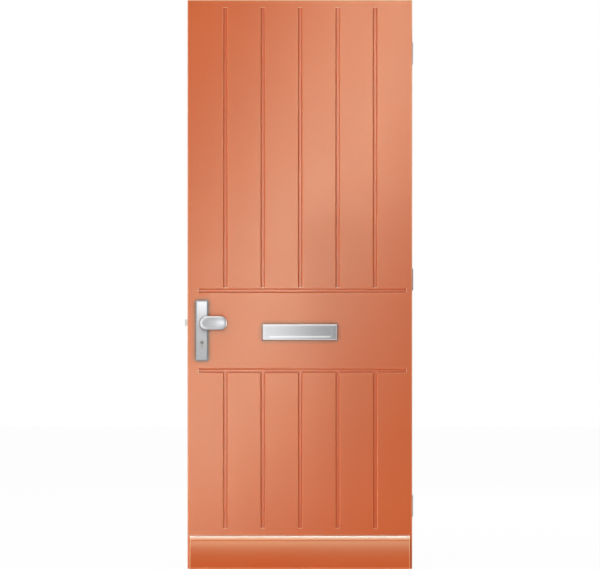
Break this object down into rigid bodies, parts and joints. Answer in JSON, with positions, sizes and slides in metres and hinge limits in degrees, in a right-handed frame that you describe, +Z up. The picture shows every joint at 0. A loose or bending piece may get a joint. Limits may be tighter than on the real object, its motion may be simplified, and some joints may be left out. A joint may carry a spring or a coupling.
{
  "type": "panelled front door",
  "caption": "Tall painted front door leaf with routed vertical grooves, a weatherboard, letter plate, fixed outside knob and inside lever, hung on butt hinges with a mortise lock.",
  "frame": {"origin": "middle of the leaf's bottom edge, halfway through its thickness", "axes": "+Z up, +X from the lock edge to the hinge edge seen from outside, outside face towards -Y"},
  "size_m": [0.946, 0.1595, 2.355],
  "materials": {
    "orange_paint": "smooth orange satin paint on timber and fibreboard",
    "core_board": "raw light particle board, hidden",
    "satin_aluminium": "fine brushed satin anodised",
    "lock_steel": "zinc plated steel",
    "nickel": "matt nickel plated",
    "hinge_zinc": "light galvanised and lacquered",
    "nylon": "moulded nylon"
  },
  "bodies": {
    "frame_side": {"upper_frame_leaf": "hinge_zinc", "upper_hinge_pin": "hinge_zinc", "upper_hinge_bearings": "nylon", "middle_frame_leaf": "hinge_zinc", "middle_hinge_pin": "hinge_zinc", "middle_hinge_bearings": "nylon", "lower_frame_leaf": "hinge_zinc", "lower_hinge_pin": "hinge_zinc", "lower_hinge_bearings": "nylon"},
    "leaf": {"outer_skin": "orange_paint", "inner_skin": "orange_paint", "hinge_stile": "orange_paint", "lock_stile": "orange_paint", "top_rail": "orange_paint", "bottom_rail": "orange_paint", "letter_rail": "orange_paint", "weatherboard": "orange_paint", "upper_core": "core_board", "lower_core": "core_board", "lock_case": "lock_steel", "lock_cover": "lock_steel", "lock_forend": "lock_steel", "forend_screws": "lock_steel", "cylinder_body": "nickel", "cylinder_screw": "lock_steel", "outer_backplate": "satin_aluminium", "outer_knob": "satin_aluminium", "knob_screw": "lock_steel", "inner_backplate": "satin_aluminium", "lever_bush": "nylon", "plate_bolts": "lock_steel", "outer_letter_plate": "satin_aluminium", "outer_flap_pin": "lock_steel", "inner_letter_plate": "satin_aluminium", "inner_flap_pin": "lock_steel", "letter_bolts": "lock_steel", "hinge_screws": "lock_steel", "upper_door_leaf": "hinge_zinc", "middle_door_leaf": "hinge_zinc", "lower_door_leaf": "hinge_zinc"},
    "lever": {"inner_lever": "satin_aluminium", "spindle": "lock_steel", "follower": "lock_steel", "lever_grub_screw": "lock_steel"},
    "latch": {"latch_bolt": "nickel"},
    "key_barrel": {"outer_plug": "nickel", "inner_plug": "nickel", "cylinder_cam": "lock_steel"},
    "deadbolt": {"dead_bolt": "nickel"},
    "mail_flap": {"outer_flap": "satin_aluminium"},
    "draught_flap": {"inner_flap": "satin_aluminium"}
  },
  "joints": [
    {"name": "leaf_swing", "type": "hinge", "parent": "frame_side", "child": "leaf", "pos_m": [0.463, 0.034, 0], "axis": [0, 0, -1], "range_deg": [0, 110]},
    {"name": "lever_turn", "type": "hinge", "parent": "leaf", "child": "lever", "pos_m": [-0.405, 0, 1.0095], "axis": [0, 1, 0], "range_deg": [0, 35], "stiffness_Nm_per_rad": 1.2, "springref_deg": -34.38},
    {"name": "latch_slide", "type": "slide", "parent": "leaf", "child": "latch", "axis": [1, 0, 0], "range_m": [0, 0.01222]},
    {"name": "key_turn", "type": "hinge", "parent": "leaf", "child": "key_barrel", "pos_m": [-0.405, 0, 0.9375], "axis": [0, -1, 0], "range_deg": [0, 360]},
    {"name": "deadbolt_throw", "type": "slide", "parent": "leaf", "child": "deadbolt", "axis": [-1, 0, 0], "range_m": [0, 0.02]},
    {"name": "mail_flap_swing", "type": "hinge", "parent": "leaf", "child": "mail_flap", "pos_m": [0, -0.03, 0.999], "axis": [1, 0, 0], "range_deg": [0, 80], "stiffness_Nm_per_rad": 0.04, "springref_deg": -68.75},
    {"name": "draught_flap_swing", "type": "hinge", "parent": "leaf", "child": "draught_flap", "pos_m": [0, 0.0345, 1.0035], "axis": [1, 0, 0], "range_deg": [0, 85], "stiffness_Nm_per_rad": 0.04, "springref_deg": -68.75}
  ],
  "couplings": [
    {"joint": "latch_slide", "follows": "lever_turn", "m_per_rad": 0.02},
    {"joint": "key_turn", "follows": "deadbolt_throw", "rad_per_m": 314.16}
  ]
}
